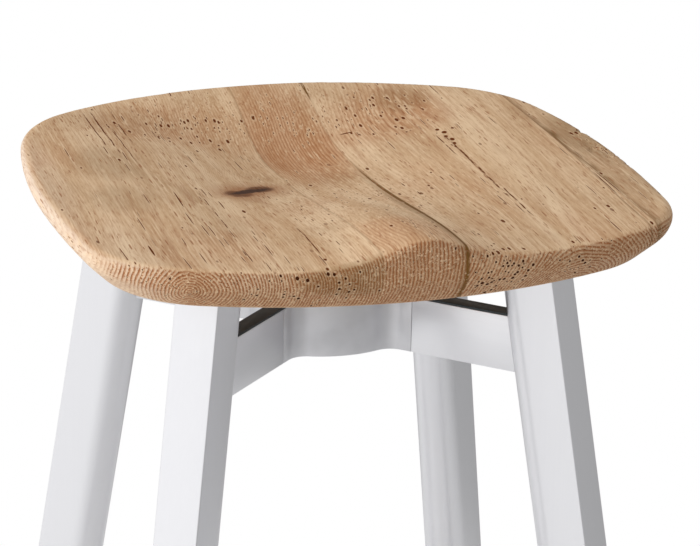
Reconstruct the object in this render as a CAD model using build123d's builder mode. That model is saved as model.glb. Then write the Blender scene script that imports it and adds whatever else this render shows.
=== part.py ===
from build123d import *
from math import atan, cos, exp, pi, radians, sin, sqrt
import os

os.makedirs("parts", exist_ok=True)

# Bar stool: four splayed hollow legs joined by an X frame under a carved, edge-glued wooden seat.
# Origin at floor level on the stool's centre line, +Z up, -Y to the front of the seat.

# Heights above the floor, mm
ARM_TOP = 663.0             # top of the black cover strips on the X frame
BELLY_Z = 706.0             # flat underside of the seat
RIM_FOOT_Z = 712.0          # lower end of the slanted side under the rim
RIM_WAIST_Z = 732.0         # the side turns from upright to slanted here
RIM_Z = 743.5               # top of the rim at the sides and the back
BLANK_Z = 775.0             # top of the seat blank before it is carved

# Seat outline, half widths and depths at the widest level
SEAT_HALF = 204.0
SEAT_FRONT = -219.5
SEAT_BACK = 210.0
WIDEST_Y = -25.0
FRONT_CORNER = (195.0, -169.0)
BACK_CORNER = (167.0, 185.0)
FRONT_CORNER_R = 80.0
BACK_CORNER_R = 130.0
RIM_FOOT_INSET = 20.0
RIM_FOOT_R = 18.0
RIM_WAIST_R = 16.0
CREST_R = 6.0               # rounding between the rim's side and the carved top
CREST_BAND = 12.0           # the rim's edges lie no lower than this under RIM_Z
BELLY_INSET = 64.0

# Seat carving
POMMEL_RISE = 16.5          # ridge between the thighs, above the rim
POMMEL_SPREAD = 35.0
POMMEL_FADE = 145.0
DISH_DEPTH = 26.0
DISH_MIDDLE_Y = 105.0       # deepest line of the dish
DISH_HALF = 158.0           # half width of the dish, inside a nearly flat rim
DISH_BACK = 118.0           # from the deepest line back to the rim
DISH_CORNER_POWER = 3.0     # higher squares off the dish's back corners
DISH_WALL_POWER = 0.85      # higher is flatter in the middle and steeper at the rim
THIGH_DIP = 1.2
THIGH_START_Y = 15.0        # the thigh channels deepen from here to the front
THIGH_X = 108.0
THIGH_SPREAD = 42.0
CORNER_DROP = 3.0           # the rim sinks slightly round the back corners
CORNER_X = 120.0
CORNER_SPREAD = 52.0
CORNER_START_Y = 60.0
CORNER_RUN = 130.0

CARVE_STATIONS = (-232.0, -180.0, -125.0, -60.0, 5.0, 60.0, 105.0, 145.0, 180.0, 205.0, 225.0)
CARVE_POINTS = (0.0, 32.0, 65.0, 95.0, 125.0, 155.0, 190.0, 225.0)
CARVE_HALF = 225.0
CARVE_LID = 800.0

# Glue lines between the seat boards, from the left: place at the middle, and turn in degrees
GLUE_LINES = ((-21.0, 2.2), (34.7, 2.2), (172.0, 0.3))
BOARD_NAMES = ("seat_board_left", "seat_board_centre", "seat_board_right", "seat_board_edge")

# Legs: hollow section with a flat outer face and a round inner side
CORNERS = {"front_left": 225, "front_right": 315, "back_right": 45, "back_left": 135}
LEG_WIDTH = 32.4
LEG_DEPTH = 42.4
LEG_WALL = 3.0
LEG_EDGE_R = 1.0
LEG_SPREAD = 183.3          # stool's centre line to a leg's outer face, at ARM_TOP
SPLAY_SLOPE = 0.123 * sqrt(2)
GLIDE_LIFT = 5.0            # thickness of a glide under the end of its leg
GLIDE_INSET = 0.8
GLIDE_CHAMFER = 0.8
PLUG_GAP = 0.15
PLUG_DEPTH = 24.0

# X frame
ARM_THICK = 12.4
ARM_HEIGHT = 40.5
STRIP_THICK = 1.5
STRIP_TONGUE = 4.6
GROOVE_WIDTH = 5.0
GROOVE_DEPTH = 2.6
SEAM = 70.0                 # centre line to the joint between hub and arm
HUB_FACE = 50.0             # centre line to the middle of the hub's bowed sides
HUB_CORE = 38.0             # corner of the core, before its hollows are rounded
HUB_FILLET = 14.0
HUB_POCKET_WALL = 6.0
HUB_POCKET_FLOOR = 12.0
HUB_BOSS_R = 12.0
HUB_BORE_R = 4.2
TONGUE_THICK = 6.0
TONGUE_LENGTH = 18.0
TONGUE_HEIGHT = 30.0
SLOT_GAP = 0.15
ARM_REACH = 165.0           # bars run this far before they are cut to the legs
GROOVE_LENGTH = 66.0
HUB_POCKET_FILLET = 3.0
HUB_COVER_SPIGOT = 8.0
HUB_SCREW_AT = 80.0

# Fasteners
HUB_SCREW_R = 2.0
HUB_SCREW_HEAD_R = 3.5
HUB_SCREW_HEAD = 4.0
HUB_SCREW_LENGTH = 22.0
HUB_SCREW_KEY = 1.7
HUB_SCREW_SOCKET = 2.2
SEAT_SCREW_R = 2.5
SEAT_SCREW_HEAD_R = 4.75
SEAT_SCREW_HEAD = 3.0
SEAT_SCREW_LENGTH = 15.0
SEAT_SCREW_KEY = 1.7
SEAT_SCREW_SOCKET = 1.8
SEAT_SCREW_CHAMFER = 1.0
SCREW_GAP = 0.15
INSERT_R = 4.5
INSERT_LENGTH = 11.0
INSERT_FLANGE_R = 5.5
INSERT_FLANGE = 1.0

# Seat brackets on the legs
BRACKET_THICK = 5.0
BRACKET_LENGTH = 94.0
BRACKET_SCREW_AT = (98.0, 119.0)    # centre line to each seat screw, along the diagonal

# Footrest
RAIL_TOP = 306.0
RAIL_HEIGHT = 32.0
RAIL_THICK = 12.4
RAIL_OFFSET = 175.5         # stool's centre line to a rail's middle plane
RAIL_HALF = 165.0           # bars run this far before they are cut to the legs
RAIL_EDGE_R = 1.5

ARM_METAL_TOP = ARM_TOP - STRIP_THICK
ARM_BOTTOM = ARM_TOP - ARM_HEIGHT
LEG_TOP = BELLY_Z - BRACKET_THICK
FLOOR_SPREAD = LEG_SPREAD + SPLAY_SLOPE * ARM_TOP
SPLAY = atan(SPLAY_SLOPE)
LEG_LENGTH = LEG_TOP / cos(SPLAY)
LEG_SPARE = 20.0
SEAT_DEPTH = SEAT_BACK - SEAT_FRONT
SEAT_MIDDLE = (SEAT_BACK + SEAT_FRONT) / 2
screw_places = [(reach, 0) for reach in BRACKET_SCREW_AT]
groove_floor = ARM_METAL_TOP - GROOVE_DEPTH
head_seat = groove_floor - HUB_SCREW_HEAD


def outward(angle):
    return Vector(cos(radians(angle)), sin(radians(angle)), 0)


def leg_plane(angle):
    """Plane across a leg: origin on its outer face at the floor, x outwards, z up along the leg."""
    out = outward(angle)
    up = Vector(0, 0, 1)
    return Plane(
        origin=out * FLOOR_SPREAD,
        x_dir=out * cos(SPLAY) + up * sin(SPLAY),
        z_dir=up * cos(SPLAY) - out * sin(SPLAY),
    )


def level_plane(angle, height):
    """Level plane at a height, with x along the diagonal towards a leg."""
    return Plane(origin=(0, 0, height), x_dir=outward(angle), z_dir=(0, 0, 1))


def leg_section(inset=0.0):
    """The leg's outline moved inwards, with its outer face on the local Y axis."""
    nose = LEG_WIDTH / 2 - inset
    shoulder = -LEG_DEPTH + LEG_WIDTH / 2
    with BuildSketch(Plane.XY, mode=Mode.PRIVATE) as section:
        with BuildLine():
            sides = Polyline((shoulder, nose), (-inset, nose), (-inset, -nose), (shoulder, -nose))
            ThreePointArc(sides @ 1, (shoulder - nose, 0), sides @ 0)
        make_face()
        fillet(section.vertices().sort_by(Axis.X)[-2:], LEG_EDGE_R)
    return section.sketch


def leg_envelope(angle):
    """A leg's full outline from below the floor to above the seat bracket."""
    with BuildPart(mode=Mode.PRIVATE) as envelope:
        with BuildSketch(leg_plane(angle).offset(-LEG_SPARE)):
            add(leg_section())
        extrude(amount=LEG_LENGTH + 2 * LEG_SPARE)
    return envelope.part


def seat_outline(inset):
    """The seat's outline drawn smaller by the inset, as tangent arcs with rounded corners."""
    across = (SEAT_HALF - inset) / SEAT_HALF
    along = (SEAT_DEPTH / 2 - inset) / (SEAT_DEPTH / 2)

    def at(x, y):
        return (x * across, SEAT_MIDDLE + (y - SEAT_MIDDLE) * along)

    with BuildSketch(Plane.XY, mode=Mode.PRIVATE) as outline:
        with BuildLine():
            TangentArc(at(0, SEAT_FRONT), at(*FRONT_CORNER), tangent=(1, 0))
            TangentArc(at(SEAT_HALF, WIDEST_Y), at(*FRONT_CORNER), tangent=(0, -1))
            TangentArc(at(SEAT_HALF, WIDEST_Y), at(*BACK_CORNER), tangent=(0, 1))
            TangentArc(at(0, SEAT_BACK), at(*BACK_CORNER), tangent=(1, 0))
            mirror(about=Plane.YZ)
        make_face()
        front = outline.vertices().filter_by(lambda v: abs(v.X) > 1).sort_by(Axis.Y)[:2]
        fillet(front, FRONT_CORNER_R * across)
        back = outline.vertices().filter_by(lambda v: abs(v.X) > 1).sort_by(Axis.Y)[-2:]
        fillet(back, BACK_CORNER_R * across)
    return outline.sketch


def seat_top(x, y):
    """Height of the carved seat at a point."""
    across = abs(x) / DISH_HALF
    behind = max(0.0, y - DISH_MIDDLE_Y) / DISH_BACK
    outward_share = (across**DISH_CORNER_POWER + behind**DISH_CORNER_POWER) ** (1 / DISH_CORNER_POWER)
    hollow = 0.5 + 0.5 * cos(pi * min(1.0, outward_share) ** DISH_WALL_POWER)
    run = max(0.0, DISH_MIDDLE_Y - y) / (DISH_MIDDLE_Y - SEAT_FRONT)
    opening = 0.5 + 0.5 * cos(pi * min(1.0, run))
    forward = max(0.0, THIGH_START_Y - y) / (THIGH_START_Y - SEAT_FRONT)
    thighs = exp(-(((abs(x) - THIGH_X) / THIGH_SPREAD) ** 2)) * forward
    ridge = exp(-((x / POMMEL_SPREAD) ** 2)) * exp(-(((y - SEAT_FRONT) / POMMEL_FADE) ** 2))
    corner = exp(-(((abs(x) - CORNER_X) / CORNER_SPREAD) ** 2))
    corner_run = min(1.0, max(0.0, y - CORNER_START_Y) / CORNER_RUN)
    lowered = DISH_DEPTH * hollow * opening + THIGH_DIP * thighs + CORNER_DROP * corner * corner_run
    return RIM_Z - lowered + POMMEL_RISE * ridge


def glue_plane(line):
    """Upright plane of a glue line, facing right."""
    place, turn = line
    facing = Vector(cos(radians(turn)), -sin(radians(turn)), 0)
    return Plane(origin=(place, 0, 0), z_dir=facing)


# Seat blank: an upright rim over a slanted underside and a slightly deeper belly
with BuildPart() as seat:
    blank_outline = seat_outline(0)
    with BuildSketch(Plane.XY.offset(RIM_WAIST_Z)):
        add(blank_outline)
    extrude(amount=BLANK_Z - RIM_WAIST_Z)
    slant = ((RIM_WAIST_Z, 0.0), (RIM_FOOT_Z, RIM_FOOT_INSET))
    belly = ((RIM_FOOT_Z, RIM_FOOT_INSET), (BELLY_Z, BELLY_INSET))
    for levels in (slant, belly):
        for level, inset in levels:
            level_outline = seat_outline(inset)
            with BuildSketch(Plane.XY.offset(level)):
                add(level_outline)
        loft(ruled=True)
    foot_edges = seat.edges().filter_by_position(Axis.Z, RIM_FOOT_Z - 0.1, RIM_FOOT_Z + 0.1)
    fillet(foot_edges, RIM_FOOT_R)
    waist_edges = seat.edges().filter_by_position(Axis.Z, RIM_WAIST_Z - 0.1, RIM_WAIST_Z + 0.1)
    fillet(waist_edges, RIM_WAIST_R)

    # Carved top: the space above the dish, the thigh channels and the pommel
    top_sections = []
    for station in CARVE_STATIONS:
        across_seat = Plane(origin=(0, station, 0), x_dir=(1, 0, 0), z_dir=(0, -1, 0))
        with BuildSketch(across_seat, mode=Mode.PRIVATE) as section:
            with BuildLine():
                widths = [-x for x in reversed(CARVE_POINTS[1:])] + list(CARVE_POINTS)
                hollow = Spline(*[(x, seat_top(x, station)) for x in widths])
                Polyline(hollow @ 1, (CARVE_HALF, CARVE_LID), (-CARVE_HALF, CARVE_LID), hollow @ 0)
            make_face()
        top_sections.append(section.sketch.face())
    loft(sections=top_sections, mode=Mode.SUBTRACT)
    crest = seat.edges().filter_by(lambda e: e.bounding_box().min.Z > RIM_Z - CREST_BAND)
    fillet(crest, CREST_R)

    # Blind holes for the threaded inserts
    for angle in CORNERS.values():
        with BuildSketch(level_plane(angle, BELLY_Z)):
            with Locations(*screw_places):
                Circle(INSERT_R)
        extrude(amount=INSERT_LENGTH, mode=Mode.SUBTRACT)
        with BuildSketch(level_plane(angle, BELLY_Z)):
            with Locations(*screw_places):
                Circle(INSERT_FLANGE_R)
        extrude(amount=INSERT_FLANGE, mode=Mode.SUBTRACT)

# The seat is glued up from boards that run from front to back
board_edges = ((-SEAT_HALF - 1, 0.0), *GLUE_LINES, (SEAT_HALF + 1, 0.0))
for board_name, left, right in zip(BOARD_NAMES, board_edges, board_edges[1:]):
    with BuildPart() as board:
        add(seat.part)
        split(bisect_by=glue_plane(left), keep=Keep.TOP)
        split(bisect_by=glue_plane(right), keep=Keep.BOTTOM)
    board.part.label = board_name
    export_step(board.part, f"parts/{board_name}.step")

# Threaded brass inserts in the underside of the seat
with BuildPart() as seat_inserts:
    for angle in CORNERS.values():
        with BuildSketch(level_plane(angle, BELLY_Z)):
            with Locations(*screw_places):
                Circle(INSERT_R)
                Circle(SEAT_SCREW_R + SCREW_GAP, mode=Mode.SUBTRACT)
        extrude(amount=INSERT_LENGTH)
        with BuildSketch(level_plane(angle, BELLY_Z)):
            with Locations(*screw_places):
                Circle(INSERT_FLANGE_R)
                Circle(SEAT_SCREW_R + SCREW_GAP, mode=Mode.SUBTRACT)
        extrude(amount=INSERT_FLANGE)
seat_inserts.part.label = "seat_inserts"
export_step(seat_inserts.part, "parts/seat_inserts.step")

# Button-head screws that hold the leg brackets to the seat
with BuildPart() as seat_screws:
    for angle in CORNERS.values():
        with BuildSketch(level_plane(angle, LEG_TOP - SEAT_SCREW_HEAD)):
            with Locations(*screw_places):
                Circle(SEAT_SCREW_HEAD_R)
        extrude(amount=SEAT_SCREW_HEAD)
        with BuildSketch(level_plane(angle, LEG_TOP)):
            with Locations(*screw_places):
                Circle(SEAT_SCREW_R)
        extrude(amount=SEAT_SCREW_LENGTH)
        with BuildSketch(level_plane(angle, LEG_TOP - SEAT_SCREW_HEAD)):
            with Locations(*screw_places):
                RegularPolygon(SEAT_SCREW_KEY, 6)
        extrude(amount=SEAT_SCREW_SOCKET, mode=Mode.SUBTRACT)
    heads = seat_screws.faces().sort_by(Axis.Z)[: 2 * len(CORNERS)]
    chamfer(heads.edges().filter_by(GeomType.CIRCLE), SEAT_SCREW_CHAMFER)
seat_screws.part.label = "seat_screws"
export_step(seat_screws.part, "parts/seat_screws.step")

# Hub: a cored casting with bowed sides, short arm stubs and a tongue for each arm
with BuildSketch(Plane.XY, mode=Mode.PRIVATE) as hub_section:
    with PolarLocations(0, 4, start_angle=45):
        Rectangle(SEAM, ARM_THICK, align=(Align.MIN, Align.CENTER))
    with BuildLine():
        for quarter in range(4):
            bow_ends = [Vector(side * HUB_CORE, HUB_CORE).rotate(Axis.Z, 90 * quarter) for side in (1, -1)]
            bow_middle = Vector(0, HUB_FACE).rotate(Axis.Z, 90 * quarter)
            ThreePointArc(bow_ends[0], bow_middle, bow_ends[1])
    make_face()
    hollows = hub_section.vertices().filter_by(lambda v: HUB_FACE < Vector(*v).length < SEAM - ARM_THICK)
    fillet(hollows, HUB_FILLET)

with BuildPart() as hub:
    with BuildSketch(Plane.XY.offset(ARM_BOTTOM)):
        add(hub_section.sketch)
    extrude(amount=ARM_METAL_TOP - ARM_BOTTOM)
    # Pocket in the underside around a bored boss
    with BuildSketch(Plane.XY.offset(ARM_BOTTOM)):
        Circle(HUB_FACE - HUB_POCKET_WALL)
        Circle(HUB_BOSS_R, mode=Mode.SUBTRACT)
    extrude(amount=ARM_METAL_TOP - ARM_BOTTOM - HUB_POCKET_FLOOR, mode=Mode.SUBTRACT)
    fillet(hub.faces().filter_by(Axis.Z).group_by(Axis.Z)[1].edges(), HUB_POCKET_FILLET)
    with BuildSketch(Plane.XY.offset(ARM_BOTTOM)):
        Circle(HUB_BORE_R)
    extrude(amount=ARM_METAL_TOP - ARM_BOTTOM, mode=Mode.SUBTRACT)
    # Tongues that the arms drop over
    for angle in CORNERS.values():
        with BuildSketch(level_plane(angle, ARM_BOTTOM)):
            with Locations((SEAM, 0)):
                Rectangle(TONGUE_LENGTH, TONGUE_THICK, align=(Align.MIN, Align.CENTER))
        extrude(amount=TONGUE_HEIGHT)
        with BuildSketch(level_plane(angle, ARM_BOTTOM)):
            with Locations((HUB_SCREW_AT, 0)):
                Circle(HUB_SCREW_R + SCREW_GAP)
        extrude(amount=TONGUE_HEIGHT, mode=Mode.SUBTRACT)
hub.part.label = "hub"
export_step(hub.part, "parts/hub.step")

with BuildPart() as hub_cover:
    with BuildSketch(Plane.XY.offset(ARM_METAL_TOP)):
        add(hub_section.sketch)
    extrude(amount=STRIP_THICK)
    with BuildSketch(Plane.XY.offset(ARM_METAL_TOP - HUB_COVER_SPIGOT)):
        Circle(HUB_BORE_R - SCREW_GAP)
    extrude(amount=HUB_COVER_SPIGOT)
hub_cover.part.label = "hub_cover"
export_step(hub_cover.part, "parts/hub_cover.step")

# Screws that go down through the arms into the hub's tongues, under the cover strips
with BuildPart() as hub_screws:
    for angle in CORNERS.values():
        with BuildSketch(level_plane(angle, head_seat)):
            with Locations((HUB_SCREW_AT, 0)):
                Circle(HUB_SCREW_HEAD_R)
        extrude(amount=HUB_SCREW_HEAD)
        with BuildSketch(level_plane(angle, head_seat)):
            with Locations((HUB_SCREW_AT, 0)):
                Circle(HUB_SCREW_R)
        extrude(amount=-HUB_SCREW_LENGTH)
        with BuildSketch(level_plane(angle, groove_floor)):
            with Locations((HUB_SCREW_AT, 0)):
                RegularPolygon(HUB_SCREW_KEY, 6)
        extrude(amount=-HUB_SCREW_SOCKET, mode=Mode.SUBTRACT)
hub_screws.part.label = "hub_screws"
export_step(hub_screws.part, "parts/hub_screws.step")

for corner, angle in CORNERS.items():
    envelope = leg_envelope(angle)
    across_leg = leg_plane(angle)

    # Leg: a hollow extrusion, cut level at both ends
    with BuildPart() as leg:
        outer = leg_section()
        with BuildSketch(across_leg.offset(-LEG_SPARE)):
            add(outer)
        extrude(amount=LEG_LENGTH + 2 * LEG_SPARE)
        bore = leg_section(LEG_WALL)
        with BuildSketch(across_leg.offset(-LEG_SPARE)):
            add(bore)
        extrude(amount=LEG_LENGTH + 2 * LEG_SPARE, mode=Mode.SUBTRACT)
        split(bisect_by=Plane.XY.offset(GLIDE_LIFT), keep=Keep.TOP)
        split(bisect_by=Plane.XY.offset(LEG_TOP), keep=Keep.BOTTOM)
    leg.part.label = f"leg_{corner}"
    export_step(leg.part, f"parts/leg_{corner}.step")

    # Foot glide: a moulded pad with a plug that fills the end of the leg
    with BuildPart() as glide:
        pad = leg_section(GLIDE_INSET)
        with BuildSketch(across_leg.offset(-LEG_SPARE)):
            add(pad)
        extrude(amount=2 * LEG_SPARE)
        split(bisect_by=Plane.XY.offset(GLIDE_LIFT), keep=Keep.BOTTOM)
        plug = leg_section(LEG_WALL + PLUG_GAP)
        with BuildSketch(across_leg.offset(-LEG_SPARE)):
            add(plug)
        extrude(amount=LEG_SPARE + PLUG_DEPTH)
        split(bisect_by=Plane.XY, keep=Keep.TOP)
        chamfer(glide.faces().sort_by(Axis.Z)[0].edges(), GLIDE_CHAMFER)
    glide.part.label = f"foot_glide_{corner}"
    export_step(glide.part, f"parts/foot_glide_{corner}.step")

    # Bracket: a plug bonded into the top of the leg, with a plate that screws to the seat
    with BuildPart() as bracket:
        plug = leg_section(LEG_WALL + PLUG_GAP)
        with BuildSketch(across_leg.offset(LEG_LENGTH - PLUG_DEPTH)):
            add(plug)
        extrude(amount=LEG_SPARE + PLUG_DEPTH)
        split(bisect_by=Plane.XY.offset(LEG_TOP), keep=Keep.BOTTOM)
        plate_edge = LEG_SPREAD - SPLAY_SLOPE * (BELLY_Z - ARM_TOP)
        with BuildSketch(level_plane(angle, LEG_TOP)):
            with Locations((plate_edge, 0)):
                Rectangle(BRACKET_LENGTH - LEG_WIDTH / 2, LEG_WIDTH, align=(Align.MAX, Align.CENTER))
            with Locations((plate_edge - BRACKET_LENGTH + LEG_WIDTH / 2, 0)):
                Circle(LEG_WIDTH / 2)
            with Locations(*screw_places):
                Circle(SEAT_SCREW_R + SCREW_GAP, mode=Mode.SUBTRACT)
        extrude(amount=BRACKET_THICK)
    bracket.part.label = f"seat_bracket_{corner}"
    export_step(bracket.part, f"parts/seat_bracket_{corner}.step")

    # Arm: a bar coped to the leg's round side, slotted over the hub's tongue
    with BuildPart() as arm:
        with BuildSketch(level_plane(angle, ARM_BOTTOM)):
            with Locations((SEAM, 0)):
                Rectangle(ARM_REACH - SEAM, ARM_THICK, align=(Align.MIN, Align.CENTER))
        extrude(amount=ARM_METAL_TOP - ARM_BOTTOM)
        add(envelope, mode=Mode.SUBTRACT)
        with BuildSketch(level_plane(angle, ARM_BOTTOM)):
            with Locations((SEAM, 0)):
                slot_length = TONGUE_LENGTH + SLOT_GAP
                Rectangle(slot_length, TONGUE_THICK + 2 * SLOT_GAP, align=(Align.MIN, Align.CENTER))
        extrude(amount=TONGUE_HEIGHT + SLOT_GAP, mode=Mode.SUBTRACT)
        with BuildSketch(level_plane(angle, groove_floor)):
            with Locations((SEAM, 0)):
                Rectangle(GROOVE_LENGTH, GROOVE_WIDTH, align=(Align.MIN, Align.CENTER))
        extrude(amount=GROOVE_DEPTH, mode=Mode.SUBTRACT)
        with BuildSketch(level_plane(angle, head_seat)):
            with Locations((HUB_SCREW_AT, 0)):
                Circle(HUB_SCREW_HEAD_R + SCREW_GAP)
        extrude(amount=ARM_METAL_TOP - head_seat, mode=Mode.SUBTRACT)
        with BuildSketch(level_plane(angle, ARM_BOTTOM + TONGUE_HEIGHT)):
            with Locations((HUB_SCREW_AT, 0)):
                Circle(HUB_SCREW_R + SCREW_GAP)
        extrude(amount=ARM_METAL_TOP - ARM_BOTTOM - TONGUE_HEIGHT, mode=Mode.SUBTRACT)
    arm.part.label = f"arm_{corner}"
    export_step(arm.part, f"parts/arm_{corner}.step")

    # Cover strip: a flat cap with a tongue that presses into the arm's groove
    with BuildPart() as strip:
        with BuildSketch(level_plane(angle, ARM_METAL_TOP)):
            with Locations((SEAM, 0)):
                Rectangle(ARM_REACH - SEAM, ARM_THICK, align=(Align.MIN, Align.CENTER))
        extrude(amount=STRIP_THICK)
        add(envelope, mode=Mode.SUBTRACT)
        with BuildSketch(level_plane(angle, groove_floor + SLOT_GAP)):
            with Locations((SEAM + SLOT_GAP, 0)):
                tongue_length = GROOVE_LENGTH - 2 * SLOT_GAP
                Rectangle(tongue_length, STRIP_TONGUE, align=(Align.MIN, Align.CENTER))
        extrude(amount=GROOVE_DEPTH - SLOT_GAP)
    strip.part.label = f"cover_strip_{corner}"
    export_step(strip.part, f"parts/cover_strip_{corner}.step")

# Footrest: four flat bars between neighbouring legs, coped to the legs' flat sides
rail_turns = {"footrest_front": 0, "footrest_right": 90, "footrest_back": 180, "footrest_left": 270}
leg_envelopes = [leg_envelope(angle) for angle in CORNERS.values()]
for rail_name, turn in rail_turns.items():
    rail_plane = Plane.XY.rotated((0, 0, turn)).offset(RAIL_TOP - RAIL_HEIGHT)
    with BuildPart() as rail:
        with BuildSketch(rail_plane):
            with Locations((0, -RAIL_OFFSET)):
                Rectangle(2 * RAIL_HALF, RAIL_THICK)
        extrude(amount=RAIL_HEIGHT)
        long_edges = rail.edges().filter_by(lambda e: abs(e.length - 2 * RAIL_HALF) < 1)
        fillet(long_edges, RAIL_EDGE_R)
        for envelope in leg_envelopes:
            add(envelope, mode=Mode.SUBTRACT)
    rail.part.label = rail_name
    export_step(rail.part, f"parts/{rail_name}.step")
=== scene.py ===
from math import atan, cos, radians, sin, sqrt

import bmesh
import bpy
from mathutils import Matrix, Vector, noise


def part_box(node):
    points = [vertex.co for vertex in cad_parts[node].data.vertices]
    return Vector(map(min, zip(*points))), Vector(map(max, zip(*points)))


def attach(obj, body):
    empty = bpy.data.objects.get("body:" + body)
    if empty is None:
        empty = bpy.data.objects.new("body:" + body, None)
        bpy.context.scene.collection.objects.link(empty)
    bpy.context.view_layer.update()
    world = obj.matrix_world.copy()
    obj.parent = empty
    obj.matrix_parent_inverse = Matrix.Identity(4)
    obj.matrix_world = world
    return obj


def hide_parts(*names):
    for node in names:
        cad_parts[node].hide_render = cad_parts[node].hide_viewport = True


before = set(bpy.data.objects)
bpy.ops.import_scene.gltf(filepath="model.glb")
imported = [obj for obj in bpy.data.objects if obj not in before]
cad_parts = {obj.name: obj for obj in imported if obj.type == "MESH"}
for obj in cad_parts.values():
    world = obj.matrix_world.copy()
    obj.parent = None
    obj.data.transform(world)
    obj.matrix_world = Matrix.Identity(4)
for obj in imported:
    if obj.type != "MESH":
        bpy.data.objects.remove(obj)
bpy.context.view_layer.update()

bl_info = {
    "name": "Bar Stool",
    "version": (1, 0, 0),
    "blender": (4, 5, 0),
    "location": "View3D > Sidebar > Stool",
    "description": "A bar stool with a carved oak seat, satin aluminium legs and a footrest",
    "category": "Add Mesh",
}

BODY = "root"
MM = 0.001
CORNERS = {"front_left": 225, "front_right": 315, "back_right": 45, "back_left": 135}   # degrees
BOARDS = ("left", "centre", "right", "edge")
RAILS = ("front", "right", "back", "left")

FRAME_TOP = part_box("cover_strip_front_left")[1].z
LEG_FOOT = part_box("leg_front_left")[0].z
LEG_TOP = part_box("leg_front_left")[1].z
RIGHT_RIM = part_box("seat_board_edge")[1]

SCREEN_WHITE = 255
MERGE_DISTANCE = 0.000005
FLAT_ANGLE = radians(0.6)


# ---------------------------------------------------------------- settings

class StoolSizes(bpy.types.PropertyGroup):
    leg_width: bpy.props.FloatProperty(
        name="Leg width", description="Width of a leg across its flat outer face",
        default=0.0324, unit="LENGTH")
    leg_depth: bpy.props.FloatProperty(
        name="Leg depth", description="Depth of a leg from its flat face to its round inner side",
        default=0.0424, unit="LENGTH")
    leg_wall: bpy.props.FloatProperty(
        name="Leg wall", description="Wall thickness of the hollow leg",
        default=0.003, unit="LENGTH")
    leg_edge: bpy.props.FloatProperty(
        name="Leg edge", description="Rounding of the leg's two outer edges",
        default=0.001, unit="LENGTH")
    leg_spread: bpy.props.FloatProperty(
        name="Leg spread", description="Centre line to a leg's outer face, level with the X frame's top",
        default=0.1833, unit="LENGTH")
    splay: bpy.props.FloatProperty(
        name="Splay", description="Lean of each leg along its diagonal",
        default=atan(0.123 * sqrt(2)), subtype="ANGLE", unit="ROTATION")
    metal_edge: bpy.props.FloatProperty(
        name="Metal edge", description="Softening of the sharp edges of the X frame and the brackets",
        default=0.0006, unit="LENGTH")
    seat_voxel: bpy.props.FloatProperty(
        name="Seat detail", description="Spacing of the seat's surface mesh",
        default=0.0021, unit="LENGTH")
    glue_lines: bpy.props.FloatVectorProperty(
        name="Glue lines", description="Where the seat's boards meet, at the middle of the seat",
        size=3, default=(-0.021, 0.0347, 0.172), unit="LENGTH")
    glue_turns: bpy.props.FloatVectorProperty(
        name="Glue line turns", description="How far each glue line is turned to the right at the back",
        size=3, default=(radians(2.2), radians(2.2), radians(0.3)), subtype="EULER")
    rim_bites: bpy.props.FloatProperty(
        name="Rim bites", description="Depth of the worm-eaten notches on the right rim",
        default=0.006, unit="LENGTH")


def linear(channel):
    """A screen value from 0 to 255 as scene light."""
    share = channel / SCREEN_WHITE
    return share / 12.92 if share <= 0.04045 else ((share + 0.055) / 1.055) ** 2.4


def colour_property(name, description, rgb):
    """A colour setting whose default is given as screen values from 0 to 255."""
    return bpy.props.FloatVectorProperty(
        name=name, description=description, size=3, subtype="COLOR", min=0, max=1,
        default=[linear(channel) for channel in rgb])


class StoolFinish(bpy.types.PropertyGroup):
    oak: colour_property("Oak", "Main colour of the seat", (207, 172, 134))
    oak_pale: colour_property("Pale oak", "Lightest streaks of the seat", (229, 199, 163))
    oak_red: colour_property("Red oak", "Reddish late wood and heartwood", (182, 124, 82))
    oak_grey: colour_property("Grey oak", "Weathered and glue-stained streaks", (120, 84, 42))
    oak_end: colour_property("End grain", "Cut ends of the boards", (176, 134, 102))
    # Painted sheen: pale colour laid on the left rim, strongest on its side faces, for the light from
    # the left.
    oak_bleached: colour_property("Bleached oak", "Painted sheen and light on the left rim", (234, 216, 198))
    oak_pore: colour_property("Pores", "Open pores, cracks and worm holes", (104, 54, 24))
    oak_worm: colour_property("End holes", "Worm holes and pores in the end grain", (52, 22, 8))
    knot: colour_property("Knot", "Heart of the knot", (70, 48, 38))
    aluminium: colour_property("Aluminium", "Anodised extrusions and bars", (236, 236, 239))
    casting: colour_property("Casting", "Blasted hub and brackets", (222, 222, 225))
    strip: colour_property("Cover strips", "Black nylon strips on the X frame", (40, 48, 53))
    glide: colour_property("Glides", "Moulded nylon feet", (38, 38, 39))
    steel: colour_property("Steel", "Zinc plated screws", (190, 190, 188))
    brass: colour_property("Brass", "Threaded inserts", (214, 178, 104))


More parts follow.
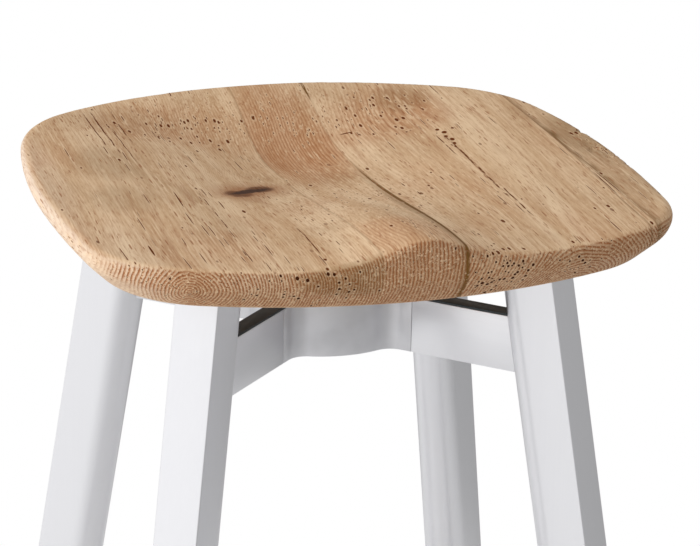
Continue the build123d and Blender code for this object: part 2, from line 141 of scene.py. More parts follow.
class StoolStudio(bpy.types.PropertyGroup):
    distance: bpy.props.FloatProperty(
        name="Distance", description="Camera distance from the X frame's top",
        default=2.488, unit="LENGTH")
    azimuth: bpy.props.FloatProperty(
        name="Azimuth", description="Camera angle to the left of the stool's front",
        default=radians(17.24), subtype="ANGLE", unit="ROTATION")
    elevation: bpy.props.FloatProperty(
        name="Elevation", description="Camera angle above the horizon",
        default=radians(19.06), subtype="ANGLE", unit="ROTATION")
    roll: bpy.props.FloatProperty(
        name="Roll", description="Turn of the camera about its own view",
        default=radians(0.91), subtype="ANGLE", unit="ROTATION")
    lens: bpy.props.FloatProperty(
        name="Lens", description="Focal length in millimetres",
        default=186.1, unit="CAMERA")
    shift: bpy.props.FloatProperty(
        name="Shift", description="Sideways shift of the picture, as a share of its width",
        default=0.0353)
    key_power: bpy.props.FloatProperty(
        name="Key light", description="Power of the large light at the front left",
        default=26.0, unit="POWER")
    top_power: bpy.props.FloatProperty(
        name="Top light", description="Power of the light overhead",
        default=4.0, unit="POWER")
    floor: colour_property("Floor", "Plain studio floor", (250, 250, 250))
    floor_radius: bpy.props.FloatProperty(
        name="Floor radius", description="Radius of the round floor",
        default=1.05, unit="LENGTH")


SETTINGS = {"stool_sizes": StoolSizes, "stool_finish": StoolFinish, "stool_studio": StoolStudio}


def rgba(colour, shade=1.0):
    """A colour setting as a shader's colour, darkened or lightened by a factor."""
    return (*(channel * shade for channel in colour), 1.0)


# ---------------------------------------------------------------- shaders

class Value:
    """One shader socket. Arithmetic on it adds Math nodes."""

    def __init__(self, nodes, socket):
        self.nodes = nodes
        self.socket = socket

    def math(self, operation, *others, clamp=False):
        """Adds a Math node that works on this value and the others."""
        settings = {"operation": operation, "use_clamp": clamp}
        return self.nodes.node("ShaderNodeMath", settings, (self, *others))

    def __add__(self, other):
        return self.math("ADD", other)

    def __sub__(self, other):
        return self.math("SUBTRACT", other)

    def __mul__(self, other):
        return self.math("MULTIPLY", other)

    def __truediv__(self, other):
        return self.math("DIVIDE", other)

    def __pow__(self, other):
        return self.math("POWER", other)

    def __rsub__(self, other):
        return self.nodes.node("ShaderNodeMath", {"operation": "SUBTRACT"}, (other, self))

    __radd__ = __add__
    __rmul__ = __mul__

    def absolute(self):
        return self.math("ABSOLUTE")

    def fraction(self):
        return self.math("FRACT")

    def clamp(self):
        return self.math("ADD", 0.0, clamp=True)

    def highest(self, other):
        return self.math("MAXIMUM", other)

    def eased(self, low, high, first, last):
        """An eased step from the first value, at low, to the last, at high."""
        settings = {"interpolation_type": "SMOOTHSTEP"}
        return self.nodes.node("ShaderNodeMapRange", settings, (self, low, high, first, last))

    def ramp(self, low, high):
        """0 below low and 1 above high, eased between; falls instead where high is the smaller."""
        if high > low:
            return self.eased(low, high, 0.0, 1.0)
        return self.eased(high, low, 1.0, 0.0)


class Nodes:
    """A node tree, built through one method."""

    def __init__(self, tree):
        self.tree = tree

    def node(self, kind, settings=None, inputs=(), output=0):
        """Adds a node, sets it up, feeds its sockets with values or links, and gives one output."""
        node = self.tree.nodes.new(kind)
        for name, value in (settings or {}).items():
            setattr(node, name, value)
        pairs = inputs.items() if isinstance(inputs, dict) else enumerate(inputs)
        for key, value in pairs:
            self.feed(node.inputs[key], value)
        return Value(self, node.outputs[output])

    def feed(self, socket, value):
        """Links a value to a socket, or sets a plain number or colour on it."""
        if isinstance(value, Value):
            self.tree.links.new(value.socket, socket)
        else:
            socket.default_value = value

    def parts(self, vector):
        """The three numbers of a vector or a colour."""
        split = self.node("ShaderNodeSeparateXYZ", inputs=(vector,))
        return [Value(self, output) for output in split.socket.node.outputs]


class Shader(Nodes):
    """A material's node tree."""

    def __init__(self, name):
        self.material = bpy.data.materials.new(name)
        self.material.use_nodes = True
        super().__init__(self.material.node_tree)
        self.surface = self.tree.nodes["Principled BSDF"]

    def set(self, **inputs):
        """Sets the surface's sockets; an underscore stands for a space."""
        for name, value in inputs.items():
            self.feed(self.surface.inputs[name.replace("_", " ")], value)

    def position(self):
        """Place on the object, in millimetres."""
        place = self.node("ShaderNodeTexCoord", output="Object")
        return self.scaled(place, (1000, 1000, 1000))

    def scaled(self, vector, factors):
        """A vector times a factor along each axis."""
        return self.node("ShaderNodeVectorMath", {"operation": "MULTIPLY"}, (vector, factors))

    def join(self, x, y, z):
        """A vector of three numbers."""
        return self.node("ShaderNodeCombineXYZ", inputs=(x, y, z))

    def noise(self, vector, cell, detail=2.0, roughness=0.5):
        """Noise from 0 to 1 whose cells have the given sizes in millimetres."""
        stretched = self.scaled(vector, [1 / size for size in cell])
        inputs = {"Vector": stretched, "Scale": 1.0, "Detail": detail, "Roughness": roughness}
        return self.node("ShaderNodeTexNoise", inputs=inputs)

    def cells(self, vector, cell):
        """Distance to the nearest random point, and that point's own random numbers."""
        stretched = self.scaled(vector, [1 / size for size in cell])
        distance = self.node("ShaderNodeTexVoronoi", inputs={"Vector": stretched, "Scale": 1.0})
        colour = Value(self, distance.socket.node.outputs["Color"])
        return distance, self.parts(colour)

    def mix(self, factor, first, second):
        """A colour between two others."""
        return self.node("ShaderNodeMix", {"data_type": "RGBA"}, {0: factor, 6: first, 7: second}, 2)

    def bump(self, height, distance, strength=1.0):
        """A surface relief; height is in shares of the distance."""
        inputs = {"Strength": strength, "Distance": distance, "Height": height}
        return self.node("ShaderNodeBump", inputs=inputs)


def spot(x, y, place, size, turn=0.0):
    """A soft oval patch in plan: 1 at its centre, 0 beyond its half sizes."""
    from_x, from_y = x - place[0], y - place[1]
    across = (from_x * cos(turn) + from_y * sin(turn)) / size[0]
    along = (from_y * cos(turn) - from_x * sin(turn)) / size[1]
    return (across * across + along * along).ramp(1.0, 0.0)


def ridge(x, line, width):
    """1 along a line of constant x, 0 beyond its half width."""
    return (x - line).absolute().ramp(width, 0.0)


def total(values):
    """Sum of shader values, or 0 for none at all."""
    result = 0.0
    for value in values:
        result = value + result
    return result


class Oak(Shader):
    """Reclaimed oak as a solid. All lengths are in millimetres, x to the right and y to the back.

    The pith is the rings' centre line, by x and height. A glue side is a joint's x, its stain's half
    width and strength. Marks are patches (middle, half sizes, strength) under swirls, red, stains,
    the painted sheen of the left rim, porous and worms; cracks (x, far end, near end, half width);
    and nicks and knots (middle, half sizes, turn)."""

    # Each kind of pore: its cells' sizes across, along and up, and its radius as a share of them
    FLECKS = (1.7, 19, 1.7), 0.23
    DASHES = (2.4, 80, 2.4), 0.140
    SLITS = (4.2, 260, 4.2), 0.085
    WORM_HOLES = (3.3, 10.0, 3.3), 0.26
    TORN_PORES = (1.9, 4.0, 1.9), 0.27
    CRACK_TAPER = 14.0

    def __init__(self, name, pith, spacing, turn, glue_sides, marks):
        super().__init__(name)
        self.marks = marks
        finish = bpy.context.scene.stool_finish
        self.tone = {field: rgba(getattr(finish, field)) for field in StoolFinish.__annotations__}
        self.dark_red = self.mix(0.40, self.tone["oak_red"], self.tone["oak_pore"])

        object_x, self.y, self.z = self.parts(self.position())
        self.x = object_x - self.y * sin(turn)
        self.board = self.join(self.x, self.y, self.z)
        _, facing_y, facing_z = self.parts(self.node("ShaderNodeNewGeometry", output="Normal"))
        self.end = facing_y.absolute().ramp(0.30, 0.70)
        # Side faces; used only to lay the painted sheen on the left rim strongest where the light from
        # the left falls.
        self.side = facing_z.ramp(0.95, 0.70)
        self.top = 1 - self.end

        self.grow_rings(pith, spacing)
        self.lay_streaks()
        self.lay_fibres()
        self.stain_joints(glue_sides)
        self.open_pores()
        self.set_knots()
        self.finish_surface()

    def tint(self, factor, colour):
        """Mixes a colour over what is there."""
        self.colour = self.mix(factor, self.colour, colour)

    def patches(self, kind):
        """How strongly the patches of one kind cover a place."""
        marks = self.marks.get(kind, ())
        return total(spot(self.x, self.y, place, size) * strength for place, size, strength in marks)

    def pores(self, place, kind, share):
        """Pores drawn out like their cells, and a painted highlight round each one's edge; only a share
        of the cells hold one.
        """
        cell, radius = kind
        distance, (chance, size, _) = self.cells(place, cell)
        chosen = (chance - share).ramp(0.02, -0.02)
        reach = distance / (size * 0.8 + 0.6)
        holes = reach.ramp(radius * 1.2, radius * 0.8) * chosen
        # A pale ring round each hole, laid as a painted highlight on its edge.
        pore_highlights = reach.ramp(radius * 2.8, radius * 1.4) * chosen
        return holes, pore_highlights

    def grow_rings(self, pith, spacing):
        """Growth rings about the pith, wandering along the board and flowing round knots."""
        wander = self.noise(self.board, (70, 380, 70)) - 0.5
        ripple = self.noise(self.board, (9, 90, 9)) - 0.5
        bent = self.x + wander * 20.0
        across = bent - pith[0]
        rise = self.z - pith[1] + wander * 9.0
        radius = (across * across + rise * rise) ** 0.5 + ripple * 1.6
        phase = ((self.patches("swirls") + radius) / spacing).fraction()
        self.late_wood = phase.ramp(0.25, 0.80) * phase.ramp(1.0, 0.86)
        self.grain = self.join(bent, self.y, self.z)

    def lay_streaks(self):
        """Broad streaks and patches of colour, and a painted sheen of light on the left rim."""
        self.broad = self.noise(self.grain, (13, 300, 22), 3.0, 0.6)
        cloudy = self.noise(self.board, (45, 80, 45), 3.0, 0.55)
        self.heartwood = self.patches("red")
        self.colour = self.mix(self.broad.ramp(0.34, 0.68), self.tone["oak"], self.tone["oak_pale"])
        self.tint((cloudy.ramp(0.46, 0.80) * 0.32 + self.heartwood * 0.55).clamp(), self.tone["oak_red"])
        self.tint(cloudy.ramp(0.50, 0.20) * 0.22, self.tone["oak_grey"])
        self.tint(self.end * 0.62, self.tone["oak_end"])
        # Painted sheen and light on the left rim, laid strongest on the side faces that face the light.
        painted_rim_sheen = (self.side * 0.75 + 0.25) * self.patches("bleached")
        self.tint(painted_rim_sheen.clamp(), self.tone["oak_bleached"])

    def lay_fibres(self):
        """Ring lines, veins and fine fibres along the board, and crumbly end grain."""
        self.fibre = self.noise(self.grain, (1.2, 15, 1.3), 3.0, 0.66)
        self.crumb = self.noise(self.board, (1.5, 3.0, 1.5), 2.0, 0.6)
        vein = self.noise(self.grain, (2.3, 130, 2.6), 2.0, 0.6)
        on_end = self.end * (self.crumb + 0.45) * 1.40
        on_top = self.top * 0.17 + self.top * self.heartwood * 0.45
        self.tint((self.late_wood * (on_end + on_top)).clamp(), self.dark_red)
        self.tint(vein.ramp(0.54, 0.72) * self.top * 0.38, self.dark_red)
        self.tint(self.fibre.ramp(0.50, 0.74) * 0.60, self.dark_red)
        self.tint(self.fibre.ramp(0.46, 0.26) * 0.68, self.tone["oak_pale"])
        self.tint(self.crumb.ramp(0.54, 0.68) * self.end * 0.62, self.tone["oak_pale"])

    def stain_joints(self, glue_sides):
        """Glue stains, each with a crisp line at the joint, and soft weathered patches."""
        drift = (self.noise(self.board, (50, 38, 50)) - 0.5) * 1.6
        stain = total(ridge(self.x + drift * width, line, width) * strength
                      for line, width, strength in glue_sides)
        stain = self.patches("stains") + stain
        self.tint((stain * (self.broad + 0.45)).clamp(), self.tone["oak_grey"])
        joint = total(ridge(self.x, line, 0.7) * strength for line, _, strength in glue_sides)
        self.tint((joint * drift.ramp(-0.5, 0.3)).clamp(), self.tone["oak_pore"])

    def open_pores(self):
        """Pores, slits, cracks and worm holes, with painted highlights round their edges."""
        crowd = self.noise(self.board, (30, 110, 30)).ramp(0.34, 0.70)
        trains = self.noise(self.grain, (4.5, 260, 5.0), 1.0).ramp(0.44, 0.62)
        crowd = (self.patches("porous") + crowd) * (trains + 0.25)
        self.flecks, _ = self.pores(self.grain, self.FLECKS, crowd * 0.34 + 0.12)
        dashes, dash_pore_highlights = self.pores(self.grain, self.DASHES, crowd * 1.0 + 0.08)
        slits, slit_pore_highlights = self.pores(self.grain, self.SLITS, crowd * 1.3 + 0.12)
        worms, worm_pore_highlights = self.pores(self.board, self.WORM_HOLES, self.patches("worms") + 0.03)
        self.torn, _ = self.pores(self.board, self.TORN_PORES, self.crumb * 0.42)
        for place, size, turn in self.marks.get("nicks", ()):
            worms = worms.highest(spot(self.x, self.y, place, size, turn).ramp(0.1, 0.6))

        # Painted highlights: pale rings round the pores and worm holes, standing in for light catching
        # their edges.
        pore_highlights = dash_pore_highlights.highest(slit_pore_highlights).highest(worm_pore_highlights * 0.6)
        self.tint(pore_highlights * 0.6, self.tone["oak_pale"])
        self.tint((self.flecks * 0.75).highest(self.torn * self.end), self.dark_red)
        self.holes = (dashes * 0.92).highest(self.cracked(slits)).highest(worms)
        self.tint(self.holes, self.mix(self.end * 0.8, self.tone["oak_pore"], self.tone["oak_worm"]))

    def cracked(self, slits):
        """Adds the long, broken cracks to the slits."""
        waver = (self.noise(self.board, (400, 26, 400)) - 0.5) * 2.0
        broken = self.noise(self.board, (3, 12, 3)).ramp(0.32, 0.56)
        for line, far, near, width in self.marks.get("cracks", ()):
            reach = self.y.ramp(near, near + self.CRACK_TAPER) * self.y.ramp(far, far - self.CRACK_TAPER)
            crack = (self.x - line + waver).absolute().ramp(width, width * 0.4)
            slits = slits.highest(crack * reach * broken)
        return slits

    def set_knots(self):
        """Knots: a ragged dark smear in a reddish halo."""
        ragged = (self.noise(self.board, (4, 4, 4), 3.0, 0.65) - 0.5) * 10.0
        for place, size, turn in self.marks.get("knots", ()):
            around = size[0] * 1.9, size[1] * 3.0
            halo = spot(self.x + ragged, self.y + ragged, place, around, turn)
            heart = spot(self.x + ragged * 0.5, self.y + ragged, place, size, turn)
            self.tint(halo * 0.40, self.dark_red)
            self.tint((heart * 1.5).clamp() * 0.94, self.tone["knot"])

    def finish_surface(self):
        """Oiled and nearly matte, with the pores and the torn end grain in relief."""
        end_relief = (self.late_wood * 0.50 + self.torn * 0.8 - self.crumb * 0.65) * self.end
        relief = self.fibre * 0.24 - self.flecks * 0.18 - self.holes * 0.24 - end_relief
        self.set(
            Base_Color=self.colour,
            Roughness=(self.fibre - 0.5) * 0.2 + self.holes * 0.25 + 0.50,
            Normal=self.bump(relief, 0.0007, 0.9),
            Specular_IOR_Level=0.02,
        )


def brushed_metal(name, colour, roughness, brush):
    """Satin anodised metal; brush gives the size of its scratches along each axis in millimetres."""
    shader = Shader(name)
    place = shader.position()
    scratch = shader.noise(place, brush, 3.0, 0.65)
    cloud = shader.noise(place, (70, 70, 110))
    tone = (scratch - 0.5) * 0.10 + (cloud - 0.5) * 0.06
    shader.set(
        Base_Color=shader.mix((tone + 0.35).clamp(), rgba(colour), rgba(colour, 0.86)),
        Metallic=1.0,
        Roughness=(scratch - 0.5) * 0.16 + (cloud - 0.5) * 0.05 + roughness,
        Normal=shader.bump(scratch, 0.00003, 0.35),
    )
    return shader.material


def blasted_metal(name, colour):
    """Bead-blasted casting: a fine, even grain and slightly cloudy."""
    shader = Shader(name)
    place = shader.position()
    grain = shader.noise(place, (0.35, 0.35, 0.35), 2.0, 0.6)
    cloud = shader.noise(place, (22, 22, 22))
    shader.set(
        Base_Color=shader.mix(cloud.ramp(0.3, 0.75), rgba(colour), rgba(colour, 0.88)),
        Metallic=1.0,
        Roughness=(cloud - 0.5) * 0.08 + 0.46,
        Normal=shader.bump(grain, 0.00008, 0.6),
    )
    return shader.material


def moulded_plastic(name, colour, roughness):
    """Moulded nylon with a fine spark texture and a little dust."""
    shader = Shader(name)
    place = shader.position()
    spark = shader.noise(place, (0.5, 0.5, 0.5), 3.0, 0.6)
    dust = shader.noise(place, (14, 14, 14), 4.0, 0.6)
    shader.set(
        Base_Color=shader.mix(dust.ramp(0.5, 0.9) * 0.5, rgba(colour), rgba(colour, 1.9)),
        Roughness=(dust - 0.5) * 0.2 + roughness,
        Normal=shader.bump(spark, 0.00012, 0.5),
    )
    return shader.material


def plated_metal(name, colour, roughness):
    """Plated or plain small metal parts with faint handling marks."""
    shader = Shader(name)
    place = shader.position()
    marks = shader.noise(place, (1.2, 1.2, 1.2), 4.0, 0.7)
    shader.set(
        Base_Color=shader.mix(marks.ramp(0.5, 0.8) * 0.5, rgba(colour), rgba(colour, 0.7)),
        Metallic=1.0,
        Roughness=(marks - 0.5) * 0.2 + roughness,
        Normal=shader.bump(marks, 0.00005, 0.4),
    )
    return shader.material


# ---------------------------------------------------------------- modelling helpers

def deselect():
    """Leaves edit mode and deselects everything."""
    if bpy.context.object and bpy.context.object.mode != "OBJECT":
        bpy.ops.object.mode_set(mode="OBJECT")
    bpy.ops.object.select_all(action="DESELECT")


def activate(piece):
    """Selects one piece and nothing else."""
    deselect()
    piece.hide_viewport = False
    piece.select_set(True)
    bpy.context.view_layer.objects.active = piece


def edit_all(piece):
    """Goes into edit mode with the whole piece selected."""
    activate(piece)
    bpy.ops.object.mode_set(mode="EDIT")
    bpy.ops.mesh.select_all(action="SELECT")


def dressed_copy(node, name):
    """A copy of a frame node with its loose triangles joined into clean faces."""
    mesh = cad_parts[node].data.copy()
    piece = bpy.data.objects.new(name, mesh)
    bpy.context.scene.collection.objects.link(piece)
    mesh.materials.clear()
    edit_all(piece)
    bpy.ops.mesh.remove_doubles(threshold=MERGE_DISTANCE)
    bpy.ops.mesh.customdata_custom_splitnormals_clear()
    bpy.ops.mesh.dissolve_limited(angle_limit=FLAT_ANGLE)
    bpy.ops.object.mode_set(mode="OBJECT")
    return piece


def apply_modifiers(piece):
    """Makes every modifier's result the piece's own mesh."""
    activate(piece)
    for modifier in list(piece.modifiers):
        bpy.ops.object.modifier_apply(modifier=modifier.name)


def soften_edges(piece, width):
    """Rounds every sharp edge by a little."""
    bevel = piece.modifiers.new("soft edges", "BEVEL")
    bevel.width = width
    bevel.segments = 2
    bevel.limit_method = "ANGLE"
    bevel.angle_limit = radians(35)
    bevel.use_clamp_overlap = False
    bevel.harden_normals = False
    apply_modifiers(piece)


def smooth(piece, angle=radians(32)):
    """Shades the piece smooth except at edges sharper than the angle."""
    activate(piece)
    bpy.ops.object.shade_smooth_by_angle(angle=angle)


def finish_piece(piece, material, slot, *nodes):
    """Gives a piece its finish and its place in the frame, and hides the nodes it stands for."""
    piece.data.materials.clear()
    piece.data.materials.append(material)
    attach(piece, BODY)
    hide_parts(*nodes)
    deselect()


def dress(node, name, material, slot, edge=0.0):
    """A dressed copy of a metal or plastic node with softened edges."""
    piece = dressed_copy(node, name)
    if edge:
        soften_edges(piece, edge)
    smooth(piece)
    finish_piece(piece, material, slot, node)


# ---------------------------------------------------------------- pieces

class STOOL_OT_seat(bpy.types.Operator):
    """Carve the seat and part it into its four glued boards"""
    bl_idname = "stool.seat"
    bl_label = "Seat Boards"

    def execute(self, context):
        sizes = context.scene.stool_sizes
        blank = self.blank(sizes.seat_voxel)
        self.bite_rim(blank, sizes.rim_bites)
        joints = list(zip(sizes.glue_lines, sizes.glue_turns))
        finishes = self.finishes(sizes)
        for board, left, right in zip(BOARDS, (None, *joints), (*joints, None)):
            piece = blank.copy()
            piece.data = blank.data.copy()
            piece.name = f"oak_board_{board}"
            bpy.context.scene.collection.objects.link(piece)
            self.cut(piece, left, -1)
            self.cut(piece, right, 1)
            smooth(piece, radians(40))
            finish_piece(piece, finishes[board], "seat_oak", f"seat_board_{board}")
        bpy.data.objects.remove(blank)
        return {"FINISHED"}

    def blank(self, voxel):
        """The whole seat as one even mesh."""
        parts = [dressed_copy(f"seat_board_{board}", f"blank_{board}") for board in BOARDS]
        deselect()
        for part in parts:
            part.select_set(True)
        bpy.context.view_layer.objects.active = parts[0]
        bpy.ops.object.join()
        blank = bpy.context.object
        remesh = blank.modifiers.new("even mesh", "REMESH")
        remesh.mode = "VOXEL"
        remesh.voxel_size = voxel
        sanding = blank.modifiers.new("sanding", "SMOOTH")
        sanding.factor = 0.5
        sanding.iterations = 3
        apply_modifiers(blank)
        return blank

    def bite_rim(self, blank, depth):
        """Eats ragged notches into the top of the right rim, deepest in its middle."""
        half_length, half_width, height = 0.055, 0.020, 0.016
        inwards = Vector((-0.7, 0, -0.7))
        cells = Vector((70, 105, 70))   # of noise, in a metre
        for vertex in blank.data.vertices:
            x, y, z = vertex.co
            along = max(0.0, 1 - abs(y) / half_length)
            across = max(0.0, 1 - (RIGHT_RIM.x - x) / half_width)
            near = along * across * (z > RIGHT_RIM.z - height)
            place = vertex.co * cells
            ragged = noise.noise(place) + 0.6 * noise.noise(place * 2.3)
            vertex.co += inwards * depth * min(1.0, near * 2.5) * max(0.0, ragged)

    def cut(self, piece, joint, side):
        """Cuts the seat at a glue line and closes it with a flat glued face."""
        if joint is None:
            return
        place, turn = joint
        edit_all(piece)
        bpy.ops.mesh.bisect(
            plane_co=(place, 0, 0), plane_no=(side * cos(turn), -side * sin(turn), 0),
            use_fill=True, clear_outer=True)
        bpy.ops.object.mode_set(mode="OBJECT")

    def finishes(self, sizes):
        """The four boards' finishes, each with its own rings and marks."""
        left_line, middle_line, right_line = (line / MM for line in sizes.glue_lines)
        turn, _, edge_turn = sizes.glue_turns
        left = Oak("oak left", (-139, 728), 1.9, turn, [(left_line, 2.0, 0.25)], {
            "swirls": [((-56, -10), (45, 70), 9.0)],
            "red": [((-75, 145), (75, 50), 0.50), ((-120, -150), (50, 60), 0.3)],
            "stains": [((-145, 42), (34, 52), 0.30), ((-150, -40), (30, 40), 0.24),
                       ((-110, 150), (60, 36), 0.16), ((-100, -110), (30, 50), 0.16),
                       ((-52, -217), (46, 12), 0.45)],
            # Painted sheen: light from the left laid as pale colour on the left rim and the front left
            # corner.
            "bleached": [((-200, 30), (26, 200), 0.75), ((-178, -150), (44, 80), 0.35),
                         ((-150, -214), (80, 22), 0.40)],
            "porous": [((-68, 142), (76, 52), 1.5), ((-120, 120), (44, 90), 0.8),
                       ((-120, -80), (60, 130), 0.5)],
            "worms": [((-66, 138), (74, 34), 0.62), ((-70, -212), (70, 26), 0.28)],
            "cracks": [(-137, 172, 70, 0.6), (-131, 176, 60, 0.8), (-116, 172, 92, 0.6),
                       (-124, 130, 40, 0.5), (-52, -110, -185, 0.6), (-96, -20, -120, 0.45)],
            "nicks": [((-155, -147), (0.9, 13), 0)],
            "knots": [((-67, -21), (14, 10), radians(30)), ((-48, -2), (18, 9), radians(44)),
                      ((-57, -11), (27, 5), radians(40))]})
        centre_sides = [(middle_line, 1.5, 0.12), (left_line, 1.5, 0.2)]
        centre = Oak("oak centre", (-900, 740), 2.3, turn, centre_sides, {
            "swirls": [((-10, -150), (30, 60), 5.0)],
            "red": [((6, 110), (46, 120), 1.0), ((0, -190), (50, 62), 0.55)],
            "stains": [((middle_line - 1, -110), (8, 185), 0.45),
                       ((middle_line - 0.4, -120), (1.5, 200), 1.4),
                       ((middle_line - 0.5, 198), (1.8, 26), 1.2)]})
        right_sides = [(middle_line, 1.5, 0.12), (right_line, 1.5, 0.4)]
        right = Oak("oak right", (118, 702), 2.4, turn, right_sides, {
            "red": [((80, 132), (54, 66), 0.8), ((60, -215), (50, 16), 0.4)],
            "stains": [((98, 158), (26, 34), 0.34), ((116, -219), (26, 10), 0.3),
                       ((middle_line + 0.4, -120), (1.2, 200), 0.9)],
            "porous": [((82, 132), (50, 62), 1.4)],
            "worms": [((78, 132), (44, 52), 0.58), ((60, -214), (30, 26), 1.1),
                      ((112, -208), (24, 24), 0.55), ((102, 52), (4, 30), 0.8)],
            "cracks": [(103, 66, -95, 1.0), (98, 70, 10, 0.6), (105, -60, -140, 0.8)],
            "nicks": [((47, 121), (6.0, 1.1), radians(-8)), ((102, 76), (1.8, 3.0), 0),
                      ((104.5, 67), (2.3, 3.8), 0), ((103, 58), (1.7, 3.0), 0),
                      ((105, 49), (2.0, 4.0), 0), ((104, 40), (1.5, 3.2), 0),
                      ((112, 72), (1.3, 2.4), 0)]})
        edge = Oak("oak edge", (178, 650), 2.2, edge_turn, [(right_line, 6.0, 0.6)], {
            "stains": [((192, 20), (26, 80), 0.50), ((190, -80), (26, 60), 0.25)],
            "porous": [((190, 10), (16, 90), 1.2)],
            "worms": [((198, 0), (11, 64), 0.75)]})
        boards = {"left": left, "centre": centre, "right": right, "edge": edge}
        return {name: board.material for name, board in boards.items()}


class STOOL_OT_legs(bpy.types.Operator):
    """Model one hollow leg and set a copy at each corner"""
    bl_idname = "stool.legs"
    bl_label = "Legs"

    blank_length = 1.0
    blank_middle = 0.35

    def execute(self, context):
        sizes = context.scene.stool_sizes
        colour = context.scene.stool_finish.aluminium
        metal = brushed_metal("satin aluminium leg", colour, 0.36, (1.4, 1.4, 120))
        for corner, angle in CORNERS.items():
            leg = self.tube(sizes)
            leg.name = f"aluminium_leg_{corner}"
            self.place(leg, sizes, radians(angle))
            smooth(leg)
            finish_piece(leg, metal, "leg_aluminium", f"leg_{corner}")
        return {"FINISHED"}

    def tube(self, sizes):
        """A tube along Z with its flat outer face on the YZ plane and its round side towards -X."""
        nose = sizes.leg_width / 2
        shoulder = nose - sizes.leg_depth
        deselect()
        bpy.ops.mesh.primitive_cylinder_add(
            vertices=96, radius=nose, depth=self.blank_length, end_fill_type="NOTHING",
            location=(shoulder, 0, 0))
        tube = bpy.context.object
        bpy.ops.object.transform_apply(location=True, rotation=False, scale=False)
        edit_all(tube)
        bpy.ops.mesh.bisect(plane_co=(shoulder, 0, 0), plane_no=(1, 0, 0), clear_outer=True)
        bpy.ops.mesh.extrude_edges_move(TRANSFORM_OT_translate={"value": (-shoulder, 0, 0)})
        bpy.ops.mesh.edge_face_add()
        self.round_outer_edges(tube, sizes)
        wall = tube.modifiers.new("wall", "SOLIDIFY")
        wall.thickness = sizes.leg_wall
        wall.offset = -1
        wall.use_even_offset = True
        apply_modifiers(tube)
        return tube

    def round_outer_edges(self, tube, sizes):
        """Rounds the two long edges of the flat face."""
        bpy.ops.mesh.select_all(action="DESELECT")
        shape = bmesh.from_edit_mesh(tube.data)
        close = 1e-5
        for edge in shape.edges:
            low, high = edge.verts
            upright = abs(low.co.z - high.co.z) > self.blank_length / 2
            at_corner = abs(low.co.x) < close and abs(abs(low.co.y) - sizes.leg_width / 2) < close
            if upright and at_corner:
                edge.select = True
        bmesh.update_edit_mesh(tube.data)
        bpy.ops.mesh.bevel(offset=sizes.leg_edge, segments=4)
        bpy.ops.mesh.select_all(action="SELECT")
        bpy.ops.mesh.normals_make_consistent(inside=False)
        bpy.ops.object.mode_set(mode="OBJECT")

    def place(self, leg, sizes, angle):
        """Leans the leg, turns it to its corner and cuts both ends level."""
        slope = sin(sizes.splay) / cos(sizes.splay)
        reach = sizes.leg_spread + slope * (FRAME_TOP - self.blank_middle)
        leg.rotation_euler = (0, -sizes.splay, 0)
        leg.location = (reach, 0, self.blank_middle)
        activate(leg)
        bpy.ops.object.transform_apply(location=True, rotation=True, scale=False)
        leg.rotation_euler = (0, 0, angle)
        bpy.ops.object.transform_apply(location=False, rotation=True, scale=False)
        edit_all(leg)
        for height, side in ((LEG_FOOT, -1), (LEG_TOP, 1)):
            bpy.ops.mesh.select_all(action="SELECT")
            bpy.ops.mesh.bisect(
                plane_co=(0, 0, height), plane_no=(0, 0, side), use_fill=True, clear_outer=True)
        bpy.ops.object.mode_set(mode="OBJECT")


class STOOL_OT_x_frame(bpy.types.Operator):
    """Make the hub, its four arms and the black strips that cover them"""
    bl_idname = "stool.x_frame"
    bl_label = "X Frame"

    def execute(self, context):
        finish = context.scene.stool_finish
        edge = context.scene.stool_sizes.metal_edge
        metal = brushed_metal("satin aluminium arm", finish.aluminium, 0.38, (60, 60, 1.2))
        cast = blasted_metal("blasted aluminium hub", finish.casting)
        nylon = moulded_plastic("black nylon", finish.strip, 0.55)
        dress("hub", "cast_hub", cast, "cast_aluminium", edge)
        dress("hub_cover", "nylon_hub_cover", nylon, "black_nylon", edge / 2)
        for corner in CORNERS:
            dress(f"arm_{corner}", f"aluminium_arm_{corner}", metal, "arm_aluminium", edge)
            dress(f"cover_strip_{corner}", f"nylon_strip_{corner}", nylon, "black_nylon", edge / 2)
        return {"FINISHED"}


class STOOL_OT_footrest(bpy.types.Operator):
    """Make the four footrest bars"""
    bl_idname = "stool.footrest"
    bl_label = "Footrest"

    def execute(self, context):
        colour = context.scene.stool_finish.aluminium
        metal = brushed_metal("satin aluminium bar", colour, 0.38, (90, 90, 1.2))
        for side in RAILS:
            dress(f"footrest_{side}", f"aluminium_bar_{side}", metal, "arm_aluminium")
        return {"FINISHED"}


class STOOL_OT_feet(bpy.types.Operator):
    """Make the moulded glides in the ends of the legs"""
    bl_idname = "stool.feet"
    bl_label = "Foot Glides"

    def execute(self, context):
        nylon = moulded_plastic("glide nylon", context.scene.stool_finish.glide, 0.5)
        edge = context.scene.stool_sizes.metal_edge / 2
        for corner in CORNERS:
            dress(f"foot_glide_{corner}", f"nylon_glide_{corner}", nylon, "glide_nylon", edge)
        return {"FINISHED"}


class STOOL_OT_fixings(bpy.types.Operator):
    """Make the seat brackets, screws and threaded inserts"""
    bl_idname = "stool.fixings"
    bl_label = "Brackets and Screws"

    def execute(self, context):
        finish = context.scene.stool_finish
        edge = context.scene.stool_sizes.metal_edge
        cast = blasted_metal("blasted aluminium bracket", finish.casting)
        zinc = plated_metal("zinc plate", finish.steel, 0.32)
        brass = plated_metal("plain brass", finish.brass, 0.34)
        for corner in CORNERS:
            dress(f"seat_bracket_{corner}", f"cast_bracket_{corner}", cast, "cast_aluminium", edge)
        dress("seat_screws", "zinc_seat_screws", zinc, "steel", edge / 3)
        dress("hub_screws", "zinc_hub_screws", zinc, "steel", edge / 3)
        dress("seat_inserts", "brass_inserts", brass, "brass")
        return {"FINISHED"}


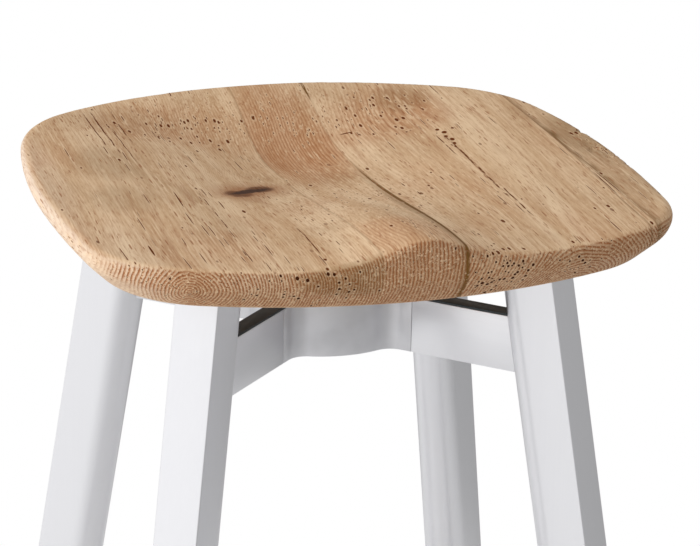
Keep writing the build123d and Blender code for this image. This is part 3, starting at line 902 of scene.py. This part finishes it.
class STOOL_OT_studio(bpy.types.Operator):
    """Set the floor, the lights and the camera"""
    bl_idname = "stool.studio"
    bl_label = "Studio"

    camera_lift = 0.0023
    light_aim = Vector((0, 0, 0.6))

    def execute(self, context):
        studio = context.scene.stool_studio
        self.camera(context, studio)
        self.floor(studio)
        key = self.area("key_light", (-2.6, -0.9, 1.3), 1.4, studio.key_power)
        key.visible_glossy = False
        self.area("top_light", (0.1, 0.5, 2.6), 1.6, studio.top_power)
        self.surroundings(context)
        context.scene.view_settings.view_transform = "Standard"
        return {"FINISHED"}

    def camera(self, context, studio):
        """Stands the camera round the top of the X frame and rolls it about its own view."""
        target = Vector((0, 0, FRAME_TOP + self.camera_lift))
        level = studio.distance * cos(studio.elevation)
        back = Vector((-sin(studio.azimuth) * level, -cos(studio.azimuth) * level,
                       studio.distance * sin(studio.elevation)))
        look = -back.normalized()
        right = look.cross(Vector((0, 0, 1))).normalized()
        up = right.cross(look)
        turned_right = right * cos(studio.roll) + up * sin(studio.roll)
        turned_up = up * cos(studio.roll) - right * sin(studio.roll)
        pose = Matrix((turned_right, turned_up, -look)).transposed()
        bpy.ops.object.camera_add(location=target + back, rotation=pose.to_euler())
        camera = bpy.context.object
        camera.name = "camera"
        camera.data.lens = studio.lens
        camera.data.shift_x = studio.shift
        context.scene.camera = camera

    def floor(self, studio):
        """A plain round floor."""
        deselect()
        bpy.ops.mesh.primitive_circle_add(
            vertices=128, radius=studio.floor_radius, fill_type="NGON", location=(0, 0, 0))
        floor = bpy.context.object
        floor.name = "studio_floor"
        shader = Shader("studio floor")
        shader.set(Base_Color=rgba(studio.floor), Roughness=0.8)
        floor.data.materials.append(shader.material)

    def area(self, name, place, size, power):
        """A large soft light that faces the stool."""
        facing = (self.light_aim - Vector(place)).to_track_quat("-Z", "Y").to_euler()
        bpy.ops.object.light_add(type="AREA", location=place, rotation=facing)
        light = bpy.context.object
        light.name = name
        light.data.size = size
        light.data.energy = power
        return light

    def surroundings(self, context):
        """A white room that is dimmer to the right and below, so that the metal's faces read apart."""
        world = bpy.data.worlds.new("studio")
        context.scene.world = world
        world.use_nodes = True
        room = Nodes(world.node_tree)
        x, _, z = room.parts(room.node("ShaderNodeTexCoord", output="Generated"))
        light = x.eased(-0.95, 0.15, 1.24, 0.51) * z.eased(-0.5, 0.2, 0.78, 1.0)
        seen = room.node("ShaderNodeLightPath", output="Is Camera Ray")
        backdrop = room.node("ShaderNodeMix", inputs={0: seen, 2: light, 3: 1.0})
        background = world.node_tree.nodes["Background"]
        room.feed(background.inputs["Color"], rgba((1, 1, 1)))
        room.feed(background.inputs["Strength"], backdrop)


# ---------------------------------------------------------------- panel and main

STEPS = (STOOL_OT_studio, STOOL_OT_seat, STOOL_OT_legs, STOOL_OT_x_frame, STOOL_OT_footrest,
         STOOL_OT_feet, STOOL_OT_fixings)


class STOOL_PT_panel(bpy.types.Panel):
    """Sizes, colours and steps of the bar stool"""
    bl_idname = "STOOL_PT_panel"
    bl_label = "Bar Stool"
    bl_space_type = "VIEW_3D"
    bl_region_type = "UI"
    bl_category = "Stool"

    def draw(self, context):
        for name, group in SETTINGS.items():
            box = self.layout.box()
            settings = getattr(context.scene, name)
            for field in group.__annotations__:
                box.prop(settings, field)
        for step in STEPS:
            self.layout.operator(step.bl_idname)


CLASSES = (*SETTINGS.values(), *STEPS, STOOL_PT_panel)


def register():
    """Adds the settings, the steps and the panel to Blender."""
    for cls in CLASSES:
        bpy.utils.register_class(cls)
    for name, group in SETTINGS.items():
        setattr(bpy.types.Scene, name, bpy.props.PointerProperty(type=group))


def unregister():
    """Takes them out again."""
    for name in SETTINGS:
        delattr(bpy.types.Scene, name)
    for cls in reversed(CLASSES):
        bpy.utils.unregister_class(cls)


def main():
    """Builds the whole stool."""
    register()
    bpy.ops.stool.studio()
    bpy.ops.stool.seat()
    bpy.ops.stool.legs()
    bpy.ops.stool.x_frame()
    bpy.ops.stool.footrest()
    bpy.ops.stool.feet()
    bpy.ops.stool.fixings()


if __name__ == "__main__":
    main()
